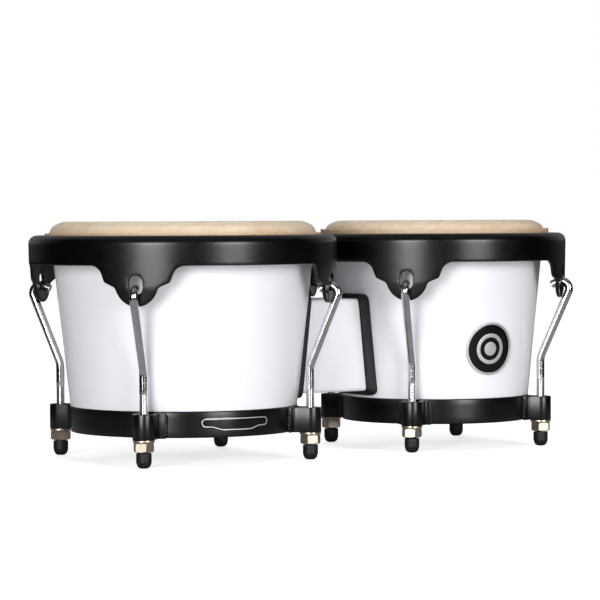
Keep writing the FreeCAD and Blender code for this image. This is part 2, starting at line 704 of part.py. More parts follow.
def make_label():
    """Plain obround plate on the front of the large drum's ring."""
    name = "hembra_ring_plate"
    ring = "dims.hembra_base_radius + dims.ring_step + dims.seat_gap"
    body = new_body(name + "_blank")
    sketch = new_sketch(body, name + "_line", "XZ_Plane")
    half, middle = "dims.label_half_height", "dims.label_height"
    end = "(dims.label_half - dims.label_half_height)"
    outline(sketch, [
        (end, middle + " - " + half), ("dims.label_half", middle, half, "left"),
        (end, middle + " + " + half, half, "left"), ("-" + end, middle + " + " + half),
        ("-dims.label_half", middle, half, "left"), ("-" + end, middle + " - " + half, half, "left"),
    ])
    pad(body, name + "_prism", sketch, "dims.plate_reach")
    layers = []
    for layer, radius in (("over", ring + " + dims.label_thick"), ("under", ring)):
        cylinder = doc.addObject("Part::Cylinder", "%s_%s" % (name, layer))
        bind(cylinder, "Radius", radius)
        bind(cylinder, "Height", "dims.label_height * 2")
        layers.append(cylinder)
    raised = boolean("Common", name + "_raised", body, layers[0])
    keep(name, boolean("Cut", name, raised, layers[1]), "hembra", "dims.label_turn")


# ---------------------------------------------------------------- the whole pair

for drum in NAMES:
    make_shell(drum)
    make_head(drum)
    make_bottom_ring(drum)
    make_brackets(drum)
    make_washers(drum)
    make_rim(drum)
    make_hoop(drum)
    make_roll(drum)
    make_rods(drum)
    make_caps(drum)
    for lug in range(LUGS):
        make_nut(drum, lug)
    make_pad(drum)
    make_plate(drum)
make_block()
make_bolts()
make_badge()
make_label()
doc.recompute()

for item in doc.Objects:
    if {"Invalid", "Error"} & set(item.State):
        raise RuntimeError("failed: %s %s" % (item.Label, item.State))
os.makedirs("parts", exist_ok=True)
for name, feature in sub_parts.items():
    shape = feature.Shape
    if shape.isNull() or not shape.isValid() or not shape.Solids:
        raise RuntimeError("no valid solid: " + name)
    shape.exportStep("parts/%s.step" % name)
    print("%-22s %d solid(s) %10.1f mm3" % (name, len(shape.Solids), shape.Volume))
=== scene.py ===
"""Bongo drums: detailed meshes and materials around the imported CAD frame. Metres, +Z up."""
import math
import random

import bmesh
import bpy
import numpy as np
from mathutils import Matrix, Vector
from mathutils.geometry import delaunay_2d_cdt


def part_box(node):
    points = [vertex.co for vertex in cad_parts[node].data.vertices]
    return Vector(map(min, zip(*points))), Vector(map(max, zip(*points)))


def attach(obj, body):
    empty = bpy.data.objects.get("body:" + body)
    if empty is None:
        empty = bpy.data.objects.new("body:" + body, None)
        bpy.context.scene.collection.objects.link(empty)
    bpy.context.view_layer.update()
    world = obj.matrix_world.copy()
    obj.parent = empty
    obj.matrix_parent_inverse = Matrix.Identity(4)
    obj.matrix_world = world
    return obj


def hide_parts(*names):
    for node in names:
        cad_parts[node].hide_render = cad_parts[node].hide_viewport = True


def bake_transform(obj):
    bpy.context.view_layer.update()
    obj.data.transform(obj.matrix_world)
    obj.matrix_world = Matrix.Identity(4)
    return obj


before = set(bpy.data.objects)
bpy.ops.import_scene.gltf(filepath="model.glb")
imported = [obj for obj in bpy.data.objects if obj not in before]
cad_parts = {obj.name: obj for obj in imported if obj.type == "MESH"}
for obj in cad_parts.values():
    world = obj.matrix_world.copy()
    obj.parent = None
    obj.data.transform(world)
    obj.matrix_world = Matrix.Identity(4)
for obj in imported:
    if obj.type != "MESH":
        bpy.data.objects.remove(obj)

MM = 0.001
TURN = 2 * math.pi
LUG_ANGLES = [math.radians(45 + 90 * lug) for lug in range(4)]
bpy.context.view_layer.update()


# ---------------- sizes, in millimetres

def box_mm(node):
    low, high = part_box(node)
    return low / MM, high / MM


class Drum:
    """Where the CAD puts one drum: its axis along X and the sizes that its pieces share."""

    def __init__(self, name):
        self.name = name
        shell_low, shell_high = box_mm(name + "_shell")
        rim_low, rim_high = box_mm(name + "_rim")
        ring_low, ring_high = box_mm(name + "_bottom_ring")
        nut_low, nut_high = box_mm(name + "_nut_1")
        skin_low, skin_high = box_mm(name + "_head_skin")
        self.place = (shell_low.x + shell_high.x) / 2
        self.edge_radius = (shell_high.x - shell_low.x) / 2 + 0.05
        self.shell_base, self.shell_top = shell_low.z, shell_high.z
        self.rim_radius = (rim_high.x - rim_low.x) / 2
        self.ear_base, self.rim_top = rim_low.z, rim_high.z
        self.ring_radius = (ring_high.x - ring_low.x) / 2
        self.ring_base, self.ring_top = ring_low.z, ring_high.z
        self.base_radius = self.ring_radius - 0.25
        self.nut_base, self.nut_top = nut_low.z, nut_high.z
        self.rod_place = math.hypot((nut_low.x + nut_high.x) / 2 - self.place, (nut_low.y + nut_high.y) / 2)
        self.head_top, self.skirt_base = skin_high.z, skin_low.z
        self.cap_top = box_mm(name + "_foot_caps")[1].z

    def wall_radius(self, height):
        """Outer radius of the tapered wall at a height."""
        share = (height - self.ring_top) / (EDGE_HEIGHT - self.ring_top)
        return self.base_radius + (self.edge_radius - self.base_radius) * share

    def rim_outside(self, height):
        """Outer radius of the rim's side wall at a height; an ear's tip leans in further."""
        lean = EAR_LEAN * max(0, EAR_BEND - height) / (EAR_BEND - self.ear_base)
        return self.rim_radius - (self.rim_top - height) * RIM_DRAFT - lean

    def point(self, radius, angle, height):
        return Vector((self.place + radius * math.cos(angle), radius * math.sin(angle), height))


# the shell; its bearing edge's shoulder is given as corners out from the wall and up from its
# top, with their radii
EDGE_HEIGHT, EDGE_WIDTH, WALL, REBATE = 158.5, 10.5, 5.5, 3.2
SHOULDER = [(0, 1.2, 3.0), (-2.6, 6.4, 6.0), (-9.6, 9.8, 14.0)]
COLLAR_LOW, COLLAR_HIGH = 138, 150
RING_LIP = 2.5
SEAT_GAP = 0.15

# the rim; half of an ear's outline is distance from its middle, drop below the rim, corner radius
RIM_DRAFT, RIM_WALL, RIM_ROUND, RIM_BASE, RIM_CLEARANCE = 0.021, 2.6, 6.0, 138.3, 3.0
RIM_JOIN, RIM_STEPS = RIM_BASE + 2.4, 256
EAR_BEND, EAR_LEAN = 123.0, 1.2
EAR = [(28.3, 0, 9), (23.8, 11.4, 3.2), (15.5, 14.8, 4.6), (14.4, 18.4, 0)]
LOBE_RADIUS = 15.5
SLOT_HALF, SLOT_TOP, SLOT_BASE = 4.8, 131.9, 118.9

# rods, brackets, washers, nuts and foot caps
ROD_RADIUS, ROD_BASE, ROD_KNEE, KNEE_RADIUS = 3.0, 3.5, 66.0, 16.0
HOOK_HEIGHT, HOOK_RADIUS, TAIL_LENGTH, TAIL_DIP = 117.0, 5.8, 5.0, 25.0
THREAD_TOP, THREAD_PITCH, THREAD_CREST, THREAD_ROOT, NUT_TRAVEL = 50.5, 1.27, 3.25, 2.55, 24.0
STRAP_BASE, STRAP_TOP, STRAP_RADIUS, STRAP_WALL, STRAP_FOOT = 19.4, 37.0, 7.75, 2.2, 4.3
WASHER_BASE, WASHER_RADIUS, WASHER_HOLE = 17.65, 7.5, 3.4
NUT_FLATS, NUT_BORE, NUT_MOUTH, NUT_SOFT, NUT_SLOPE = 12.7, 3.05, 0.35, 0.18, 30.0
CAP_RADIUS, CAP_FLAT, CAP_DOME, CAP_BORE = 5.35, 2.6, 4.2, 3.1

# the hide and its lap; the lap's trimmed end stands off the skirt, at a height for each drum
SKIN, SKIRT, ROLL_HEIGHT, ROLL_RADIUS, ROLL_GAP = 1.5, 1.2, 150.8, 4.6, 0.7
LAP, LAP_GAP, LAP_TOP = 1.4, 1.9, {"hembra": 159.9, "macho": 161.9}

# the centre block and its pads, the badge and the ring's plate
BLOCK_HALF, BLOCK_SOFT, PAD, PAD_HALF = 21.7, 0.8, 3.0, 25.0
BADGE_HEIGHT, BADGE_RADIUS, BADGE_FACE, BADGE_THICK = 74.3, 19.3, 17.6, 1.2
LABEL_HEIGHT, LABEL_HALF, LABEL_HALF_HEIGHT, LABEL_THICK, LABEL_TURN = 28.8, 26.4, 4.9, 0.9, -1.3
LABEL_END, BELLY_HALF, BELLY_ENDS = 7.6, 11.0, 18.0


# ---------------- outlines and meshes

def rounded(corners, closed=True, step=0.35):
    """A polyline through corners (x, y, radius), with each corner rounded to its radius."""
    points = []
    for index, (x, y, radius) in enumerate(corners):
        here = Vector((x, y))
        if radius <= 0 or (not closed and index in (0, len(corners) - 1)):
            points.append(here)
            continue
        before = Vector(corners[index - 1][:2])
        after = Vector(corners[(index + 1) % len(corners)][:2])
        into, out = (before - here).normalized(), (after - here).normalized()
        opening = into.angle(out)
        if math.pi - opening < 1e-3:
            points.append(here)
            continue
        reach = radius / math.tan(opening / 2)
        centre = here + (into + out).normalized() * (radius / math.sin(opening / 2))
        start, end = here + into * reach - centre, here + out * reach - centre
        turn = start.angle_signed(end)
        pieces = max(3, int(abs(turn) * radius / step), int(abs(turn) / 0.3))
        for piece in range(pieces + 1):
            points.append(centre + Matrix.Rotation(-turn * piece / pieces, 2) @ start)
    return points


def spaced(points, step, closed=True):
    """The polyline with its long runs divided into steps."""
    result = []
    count = len(points) if closed else len(points) - 1
    for index in range(count):
        start, end = points[index], points[(index + 1) % len(points)]
        pieces = max(1, round((end - start).length / step))
        result += [start.lerp(end, piece / pieces) for piece in range(pieces)]
    return result if closed else result + [points[-1]]


def inset(points, distance, closed=True):
    """The polyline moved to its left by a distance."""
    result = []
    last = len(points) - 1
    for index, here in enumerate(points):
        before = points[index - 1] if closed or index else None
        after = points[(index + 1) % len(points)] if closed or index < last else None
        normals = []
        for start, end in ((before, here), (here, after)):
            if start is not None and end is not None:
                run = (end - start).normalized()
                normals.append(Vector((-run.y, run.x)))
        normal = sum(normals, Vector((0, 0))).normalized()
        result.append(here + normal * (distance / max(0.3, normal.dot(normals[0]))))
    return result


def make_mesh(name, vertices, faces, sharp=35, material=None):
    """A piece with smooth faces and sharp edges over the given angle; sizes in millimetres."""
    mesh = bpy.data.meshes.new(name)
    mesh.from_pydata([(v[0] * MM, v[1] * MM, v[2] * MM) for v in vertices], [], faces)
    mesh.validate()
    for face in mesh.polygons:
        face.use_smooth = True
    mesh.set_sharp_from_angle(angle=math.radians(sharp))
    piece = bpy.data.objects.new(name, mesh)
    bpy.context.scene.collection.objects.link(piece)
    if material:
        mesh.materials.append(material)
    return piece


def lathe(profile, steps, closed=True, place=0.0, wobble=None):
    """Vertices and faces of a profile (r, z) turned about the axis at X = place.
    A profile that isn't closed starts and ends on the axis."""
    vertices, faces, rings = [], [], []
    for index, (radius, height) in enumerate(profile):
        if not closed and index in (0, len(profile) - 1):
            rings.append([len(vertices)] * steps)
            vertices.append((place, 0, height))
            continue
        ring = []
        for step in range(steps):
            angle = TURN * step / steps
            reach, lift = wobble(index, angle, radius, height) if wobble else (radius, height)
            ring.append(len(vertices))
            vertices.append((place + reach * math.cos(angle), reach * math.sin(angle), lift))
        rings.append(ring)
    pairs = list(zip(rings, rings[1:])) + ([(rings[-1], rings[0])] if closed else [])
    for low, high in pairs:
        for step in range(steps):
            after = (step + 1) % steps
            face = [low[step], low[after], high[after], high[step]]
            face = list(dict.fromkeys(face))
            if len(face) > 2:
                faces.append(face)
    return vertices, faces


def inside(point, loop):
    """True if the point is inside the closed loop."""
    x, y = point
    odd = False
    for (x0, y0), (x1, y1) in zip(loop, loop[1:] + loop[:1]):
        if (y0 > y) != (y1 > y) and x < (x1 - x0) * (y - y0) / (y1 - y0) + x0:
            odd = not odd
    return odd


def fill(loops, spacing):
    """Triangles over the area between an outer loop and its holes: (points, triangles).
    The loops' points come first, in order."""
    flat = [Vector(p) for loop in loops for p in loop]
    edges, start = [], 0
    for loop in loops:
        edges += [(start + i, start + (i + 1) % len(loop)) for i in range(len(loop))]
        start += len(loop)
    border = np.array([tuple(p) for p in flat])
    low, high = border.min(0), border.max(0)
    rise = spacing * math.sqrt(3) / 2
    inner = []
    for row in range(1, int((high[1] - low[1]) / rise) + 1):
        for column in range(int((high[0] - low[0]) / spacing) + 2):
            point = (low[0] + (column + 0.5 * (row % 2)) * spacing, low[1] + row * rise)
            if np.min(np.hypot(*(border - point).T)) > spacing * 0.55:
                if inside(point, loops[0]) and not any(inside(point, hole) for hole in loops[1:]):
                    inner.append(Vector(point))
    points = flat + inner
    out, _, triangles, origin, _, _ = delaunay_2d_cdt(points, edges, [], 0, 1e-6)
    back = [source[0] if source else None for source in origin]
    kept = []
    for triangle in triangles:
        middle = sum((out[i] for i in triangle), Vector((0, 0))) / 3
        if inside(middle, loops[0]) and not any(inside(middle, hole) for hole in loops[1:]):
            kept.append([back[i] for i in triangle])
    return points, kept


def walls(rings, closed=True):
    """Faces from each ring of points to the next."""
    faces = []
    for near, far in zip(rings, rings[1:]):
        for i in range(len(near) if closed else len(near) - 1):
            j = (i + 1) % len(near)
            faces.append([near[j], near[i], far[i], far[j]])
    return faces


def soft_levels(soft, thick, rounds, middles=0):
    """Levels (inset, depth) through a plate with rounded edges, between its two faces."""
    turns = [math.pi / 2 * k / rounds for k in range(rounds + 1)]
    near = [(soft * (1 - math.sin(turn)), soft * (1 - math.cos(turn))) for turn in turns]
    between = [(0, soft + (thick - 2 * soft) * k / (middles + 1)) for k in range(1, middles + 1)]
    return near[1:] + between + [(inward, thick - depth) for inward, depth in near[:0:-1]]


def plate(filled, edges, thick, place, levels):
    """A plate's two faces, and walls down its edges. An edge is its first point's index, a
    function that gives its line at an inset, and whether it is closed."""
    points, triangles = filled
    vertices = [place(p.x, p.y, 0) for p in points]
    back = len(vertices)
    vertices += [place(p.x, p.y, thick) for p in points]
    faces = [list(t) for t in triangles] + [[back + i for i in reversed(t)] for t in triangles]
    for start, line_at, closed in edges:
        count = len(line_at(0))
        rings = [range(start, start + count)]
        for amount, depth in levels:
            rings.append(range(len(vertices), len(vertices) + count))
            vertices += [place(p.x, p.y, depth) for p in line_at(amount)]
        rings.append(range(back + start, back + start + count))
        faces += walls(rings, closed)
    return vertices, faces


def slab(loops, thick, place, soft=0.4, spacing=3.0, rounds=3, middles=0):
    """A plate with rounded edges: its outline and holes lie in two dimensions, and
    place(u, v, depth) bends it into shape. The outer loop runs anticlockwise, holes clockwise."""
    edges, start = [], 0
    for loop in loops:
        edges.append((start, lambda amount, loop=loop: inset(loop, amount), True))
        start += len(loop)
    filled = fill([inset(loop, soft) for loop in loops], spacing)
    return plate(filled, edges, thick, place, soft_levels(soft, thick, rounds, middles))


def tube(path, across, segments, radius, ends=0.5):
    """A round bar along a path in a plane; across is the plane's normal, and radius(index, angle)
    gives its surface. Both ends are domed slightly."""
    vertices, rings = [], []
    last = len(path) - 1
    runs = [(path[min(i + 1, last)] - path[max(i - 1, 0)]).normalized() for i in range(last + 1)]
    for index, here in enumerate(path):
        side = runs[index].cross(across).normalized()
        rings.append(range(len(vertices), len(vertices) + segments))
        for segment in range(segments):
            angle = TURN * segment / segments
            reach = radius(index, angle)
            vertices.append(here + side * (reach * math.cos(angle)) + across * (reach * math.sin(angle)))
    faces = walls(rings)
    for index, away in ((0, -ends), (last, ends)):
        centre, out, ring = path[index], runs[index] * away, rings[index]
        rim = range(len(vertices), len(vertices) + segments)
        vertices += [centre + (vertices[i] - centre) * 0.8 + out for i in ring]
        vertices.append(centre + out)
        faces += walls([ring, rim]) + [[rim[i - 1], rim[i], rim.stop] for i in range(segments)]
    return vertices, faces


def joined(parts):
    """Several (vertices, faces) as one."""
    vertices, faces = [], []
    for part_vertices, part_faces in parts:
        start = len(vertices)
        vertices += list(part_vertices)
        faces += [[start + i for i in face] for face in part_faces]
    return vertices, faces


def outward(piece):
    """Turns the piece's faces so that they look outwards."""
    shape = bmesh.new()
    shape.from_mesh(piece.data)
    bmesh.ops.remove_doubles(shape, verts=shape.verts, dist=1e-7)
    bmesh.ops.recalc_face_normals(shape, faces=shape.faces)
    shape.to_mesh(piece.data)
    shape.free()
    return piece


def at_lug(drum, angle, shape):
    """A shape in a lug's own plane (radial, across, up), moved to its place on the drum."""
    turn, shift = Matrix.Rotation(angle, 3, "Z"), Vector((drum.place, 0, 0))
    return [turn @ Vector(vertex) + shift for vertex in shape[0]], shape[1]


def at_every_lug(drum, shape):
    return joined([at_lug(drum, angle, shape) for angle in LUG_ANGLES])


def finish_piece(name, shape, slot, replaces=(), body="frame", sharp=35, material=None):
    """A piece on its body, in its material slot, in place of the CAD nodes that it replaces."""
    piece = outward(make_mesh(name, *shape, sharp, MATERIALS[material or slot]))
    piece.data.set_sharp_from_angle(angle=math.radians(sharp))
    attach(piece, body)
    if replaces:
        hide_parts(*replaces)


# ---------------- materials

def linear(red, green, blue):
    """Linear colour of an sRGB colour given from 0 to 255."""
    def one(value):
        value /= 255
        return value / 12.92 if value <= 0.04045 else ((value + 0.055) / 1.055) ** 2.4
    return (one(red), one(green), one(blue), 1)


class Nodes:
    """A node tree, with short calls for what the materials and the world share."""

    def __init__(self, tree):
        self.tree = tree

    def node(self, kind, **inputs):
        made = self.tree.nodes.new(kind)
        for key, value in inputs.items():
            made.inputs[key.replace("_", " ")].default_value = value
        return made

    def link(self, source, target):
        self.tree.links.new(source, target)

    def give(self, value, socket):
        """Sets a socket to a number or colour, or links it to another node's socket."""
        if isinstance(value, (int, float, tuple)):
            socket.default_value = value
        else:
            self.link(value, socket)

    def spread(self, source, low, high, start=0.0, end=1.0, smooth=False):
        """The source's run from start to end, taken to low and high."""
        made = self.node("ShaderNodeMapRange", From_Min=start, From_Max=end, To_Min=low, To_Max=high)
        made.interpolation_type = "SMOOTHSTEP" if smooth else "LINEAR"
        self.link(source, made.inputs["Value"])
        return made.outputs["Result"]

    def math(self, kind, *values, node="ShaderNodeMath"):
        made = self.node(node)
        made.operation = kind
        for socket, value in zip(made.inputs, values):
            self.give(value, socket)
        return made.outputs["Value"]

    def by_ray(self, ray, rest, chosen):
        """One shader for a kind of ray, and another for the rest."""
        made = self.node("ShaderNodeMixShader")
        for value, socket in ((self.node("ShaderNodeLightPath").outputs[ray], 0), (rest, 1), (chosen, 2)):
            self.link(value, made.inputs[socket])
        return made.outputs[0]


class Paint(Nodes):
    """A material: colour, gloss and relief from noises fixed to the object."""

    def __init__(self, name, colour, roughness, metallic=0.0):
        self.material = bpy.data.materials.new(name)
        self.material.use_nodes = True
        super().__init__(self.material.node_tree)
        self.shader = self.tree.nodes["Principled BSDF"]
        for socket, value in (("Base Color", colour), ("Roughness", roughness), ("Metallic", metallic)):
            self.shader.inputs[socket].default_value = value
        self.place = self.node("ShaderNodeTexCoord").outputs["Object"]
        self.relief = None

    def noise(self, per_metre, detail=3.0, roughness=0.5, stretch=None, distortion=0.0):
        """A noise of the given size; stretch scales its three axes."""
        place = self.place
        if stretch:
            mapping = self.node("ShaderNodeMapping", Scale=stretch)
            self.link(place, mapping.inputs["Vector"])
            place = mapping.outputs["Vector"]
        made = self.node("ShaderNodeTexNoise", Scale=per_metre, Detail=detail, Roughness=roughness,
                         Distortion=distortion)
        self.link(place, made.inputs["Vector"])
        return made.outputs["Fac"]

    def ramp(self, source, *stops):
        """A colour ramp with stops (position, colour or grey)."""
        made = self.node("ShaderNodeValToRGB")
        elements = made.color_ramp.elements
        while len(elements) < len(stops):
            elements.new(0.5)
        for element, (position, colour) in zip(elements, stops):
            element.position = position
            element.color = colour if not isinstance(colour, float) else (colour, colour, colour, 1)
        self.link(source, made.inputs["Fac"])
        return made.outputs["Color"]

    def edges(self, *stops):
        """A ramp over how convex the surface is."""
        return self.ramp(self.node("ShaderNodeNewGeometry").outputs["Pointiness"], *stops)

    def mix(self, factor, first, second):
        made = self.node("ShaderNodeMix")
        made.data_type = "RGBA"
        for key, value in (("Factor", factor), ("A", first), ("B", second)):
            socket = [s for s in made.inputs if s.name == key and (s.type == "RGBA" or key == "Factor")][0]
            self.give(value, socket)
        return [s for s in made.outputs if s.type == "RGBA"][0]

    def bump(self, source, depth, strength=1.0):
        """Adds relief of a depth in metres; calls stack."""
        made = self.node("ShaderNodeBump", Strength=strength, Distance=depth)
        self.link(source, made.inputs["Height"])
        if self.relief:
            self.link(self.relief, made.inputs["Normal"])
        self.relief = made.outputs["Normal"]
        self.link(self.relief, self.shader.inputs["Normal"])

    def colour(self, source):
        self.link(source, self.shader.inputs["Base Color"])

    def rough(self, source):
        self.link(source, self.shader.inputs["Roughness"])

    def milky(self, weight, radius):
        """Light goes a little way into the surface: a radius in metres for each colour."""
        for socket, value in (("Weight", weight), ("Radius", radius), ("Scale", 1.0)):
            self.shader.inputs["Subsurface " + socket].default_value = value


def white_abs():
    """Gloss white moulded shell: a faint cloudy flow in its colour, smears in its gloss."""
    paint = Paint("white_abs", linear(240, 240, 243), 0.16)
    cloud = paint.noise(9, 4, 0.6)
    paint.colour(paint.ramp(cloud, (0.3, linear(232, 232, 238)), (0.7, linear(238, 238, 243))))
    paint.rough(paint.spread(paint.noise(45, 5, 0.65), 0.27, 0.38))
    paint.bump(paint.noise(160, 2), 0.00002, 0.5)
    paint.milky(0.12, (0.004, 0.004, 0.0045))
    return paint.material


def black_steel():
    """Satin black powder coat: fine orange peel, thinner and greyer on edges."""
    paint = Paint("black_steel", linear(3, 3, 4), 0.28)
    base = paint.ramp(paint.noise(60, 4, 0.6), (0.35, linear(1, 1, 2)), (0.75, linear(6, 6, 7)))
    worn = paint.edges((0.56, 0.0), (0.68, 1.0))
    fleck = paint.ramp(paint.noise(400, 4, 0.7), (0.5, 0.0), (0.62, 0.4))
    paint.colour(paint.mix(paint.math("MULTIPLY", worn, fleck), base, linear(48, 48, 50)))
    paint.rough(paint.spread(paint.noise(120, 4, 0.6), 0.25, 0.32))
    paint.bump(paint.noise(900, 2, 0.5), 0.00003, 0.5)
    paint.bump(paint.noise(2600, 1, 0.5), 0.00001, 0.3)
    return paint.material


def chrome_rod():
    """Bright chrome plate: fine drawn lines, light smears, and painted shade in the thread's roots."""
    paint = Paint("chrome_rod", linear(205, 206, 208), 0.08, 1.0)
    metal = paint.ramp(paint.noise(90, 5, 0.6), (0.35, linear(222, 223, 226)), (0.65, linear(240, 241, 243)))
    # painted shade: the colour goes towards dark grey in the thread's roots and other hollows, where the
    # surface is least convex
    paint.colour(paint.mix(paint.edges((0.42, 0.85), (0.49, 0.0)), metal, linear(52, 51, 50)))
    paint.rough(paint.spread(paint.noise(220, 4, 0.6), 0.1, 0.2))
    paint.bump(paint.noise(1, 3, 0.5, (2600, 2600, 60)), 0.000006, 0.35)
    return paint.material


def hide(name, dark):
    """Natural hide: cloudy cream, hair pores, fine fibres and faint veins, browner on its rim."""
    paint = Paint(name, linear(238, 220, 196), 0.5)
    cloud = paint.noise(14, 6, 0.62, distortion=0.6)
    base = paint.ramp(cloud, (0.28, linear(226, 203, 174)), (0.5, linear(240, 223, 200)),
                      (0.72, linear(248, 235, 216)))
    fibre = paint.noise(1, 5, 0.6, (46, 260, 90), 0.8)
    base = paint.mix(paint.ramp(fibre, (0.42, 0.0), (0.62, 0.34)), base, linear(205, 176, 142))
    vein = paint.noise(30, 6, 0.7, distortion=2.2)
    line = paint.ramp(vein, (0.475, 0.0), (0.497, 0.22), (0.52, 0.0))
    base = paint.mix(line, base, linear(178, 140, 104))
    pores = paint.node("ShaderNodeTexVoronoi", Scale=900)
    paint.link(paint.place, pores.inputs["Vector"])
    pits = paint.ramp(pores.outputs["Distance"], (0.0, 1.0), (0.22, 0.0))
    base = paint.mix(paint.math("MULTIPLY", pits, 0.25), base, linear(150, 116, 86))
    low = paint.node("ShaderNodeSeparateXYZ")
    paint.link(paint.place, low.inputs["Vector"])
    fall = paint.spread(low.outputs["Z"], dark, 0.0, (EDGE_HEIGHT - 1) * MM, (EDGE_HEIGHT + 9) * MM)
    paint.colour(paint.mix(fall, base, linear(190, 158, 122)))
    paint.rough(paint.spread(paint.noise(70, 5, 0.6), 0.4, 0.62))
    paint.bump(fibre, 0.00012, 0.35)
    paint.bump(paint.noise(700, 4, 0.65), 0.00005, 0.4)
    paint.milky(0.2, (0.004, 0.0024, 0.0014))
    return paint.material


def mottled(name, colour, roughness, metallic, patch, stops, wear, rough, *grains):
    """A material with patches in its colour, an uneven gloss and fine relief. The noises patch and
    wear give the colour and the range of roughness; a grain is a noise, its depth and strength.
    A noise that is None is the patches' own."""
    paint = Paint(name, linear(*colour), roughness, metallic)
    patches = paint.noise(*patch)
    paint.colour(paint.ramp(patches, *[(position, linear(*tone)) for position, tone in stops]))
    paint.rough(paint.spread(paint.noise(*wear) if wear else patches, *rough))
    for grain, depth, strength in grains:
        paint.bump(paint.noise(*grain) if grain else patches, depth, strength)
    return paint.material


MOTTLED = {
    # warm nickel plate on pressed nuts and washers: turned marks, dulled in patches
    "nickel_fastener": (
        (200, 188, 172), 0.26, 1.0, (260, 4, 0.65), ((0.3, (196, 180, 164)), (0.7, (226, 213, 198))),
        (500, 4, 0.6), (0.24, 0.38), ((1, 2, 0.5, (900, 900, 5200)), 0.00001, 0.4),
        ((1500, 3, 0.6), 0.00001, 0.3)),
    # zinc plate on the block's bolts: pale, faintly mottled
    "zinc_bolt": (
        (176, 178, 182), 0.34, 1.0, (320, 4, 0.7), ((0.3, (150, 153, 160)), (0.7, (196, 197, 199))),
        None, (0.26, 0.46), ((1800, 3, 0.6), 0.00001, 0.35)),
    # drawn steel hoop, a little oxidised
    "bare_steel": (
        (140, 138, 136), 0.4, 1.0, (150, 4, 0.7), ((0.4, (150, 149, 148)), (0.75, (104, 94, 86))),
        None, (0.32, 0.6)),
    # matte black rubber: fine grain, dusty in patches
    "rubber_black": (
        (4, 4, 5), 0.4, 0.0, (180, 5, 0.7), ((0.4, (3, 3, 4)), (0.8, (10, 10, 11))),
        (700, 4, 0.6), (0.42, 0.66), ((3200, 2, 0.6), 0.00002, 0.5), ((420, 3, 0.5), 0.00004, 0.3)),
    # matte black moulded plastic with a spark-eroded grain
    "black_abs": (
        (24, 24, 26), 0.5, 0.0, (90, 4), ((0.3, (20, 20, 22)), (0.7, (30, 30, 32))),
        (500, 3), (0.44, 0.58), ((2400, 2, 0.5), 0.00002, 0.6)),
    # gloss black lacquer with fine dust under the clear coat
    "badge_face": (
        (9, 9, 10), 0.18, 0.0, (420, 3), ((0.4, (7, 7, 8)), (0.8, (15, 15, 16))),
        (300, 4), (0.14, 0.26), ((1200, 2), 0.00001, 0.4)),
    # satin pressed aluminium with a fine brushed grain
    "badge_metal": (
        (205, 205, 208), 0.5, 0.7, (1, 4, 0.6, (300, 300, 5200)),
        ((0.3, (190, 190, 194)), (0.7, (220, 220, 223))), None, (0.42, 0.56), (None, 0.00001, 0.4)),
}
MATERIALS = {name: mottled(name, *values) for name, values in MOTTLED.items()}
MATERIALS.update({
    "white_abs": white_abs(), "black_steel": black_steel(), "chrome_rod": chrome_rod(),
    "hide": hide("hide", 0.75), "hide_edge": hide("hide_edge", 0.95),
})


# ---------------- drums

def make_shell(drum):
    """Tapered shell with a rounded bearing edge, a thick collar inside it and a rebate below."""
    edge, low, shelf = drum.edge_radius, drum.shell_base, drum.ring_top + SEAT_GAP
    corners = [
        (drum.wall_radius(low) - WALL, low, 0.8), (drum.base_radius - REBATE, low, 0.8),
        (drum.base_radius - REBATE, shelf, 0.3), (drum.wall_radius(shelf), shelf, 0.5),
        *[(edge + out, EDGE_HEIGHT + up - SKIN, min(turn, 4)) for out, up, turn in SHOULDER],
        (edge - EDGE_WIDTH - 0.5, drum.shell_top, 0.3), (edge - EDGE_WIDTH - 0.5, COLLAR_HIGH, 3),
        (drum.wall_radius(COLLAR_LOW) - WALL, COLLAR_LOW, 6),
    ]
    shape = lathe([tuple(p) for p in spaced(rounded(corners), 6)], 192, place=drum.place)
    finish_piece(drum.name + "_shell_moulded", shape, "white_abs", [drum.name + "_shell"])


def make_head(drum):
    """Hide stretched over the bearing edge, its skirt running down to the hoop."""
    edge, foot = drum.edge_radius, drum.skirt_base
    inner = [(0, drum.shell_top + SEAT_GAP, 0),
             *[(edge + SEAT_GAP + out, EDGE_HEIGHT + up - SKIN + SEAT_GAP, turn)
               for out, up, turn in reversed(SHOULDER)],
             (drum.wall_radius(foot) + SEAT_GAP, foot, 0)]
    outer = [(drum.wall_radius(foot) + SKIRT, foot, 0), (edge + SKIRT, EDGE_HEIGHT, 0),
             *[(edge + SKIRT + out, EDGE_HEIGHT + up, turn) for out, up, turn in SHOULDER],
             (0, drum.head_top, 0)]
    profile = spaced(rounded(inner, False), 3, False) + spaced(rounded(outer, False), 3, False)
    rng = random.Random(len(drum.name))
    waves = [(rng.randint(3, 17), rng.uniform(0, TURN), rng.uniform(0.02, 0.07)) for _ in range(7)]

    def wobble(index, angle, radius, height):
        push = sum(size * math.sin(count * angle + phase) for count, phase, size in waves)
        on_crown = radius > 20 and height > EDGE_HEIGHT + 4
        return radius, height + (push * 0.5 if on_crown else 0) * radius / edge

    shape = lathe([tuple(p) for p in profile], 160, closed=False, place=drum.place, wobble=wobble)
    piece = outward(make_mesh(drum.name + "_head_hide", *shape, 40, MATERIALS["hide"]))
    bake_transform(piece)
    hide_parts(drum.name + "_head_skin")


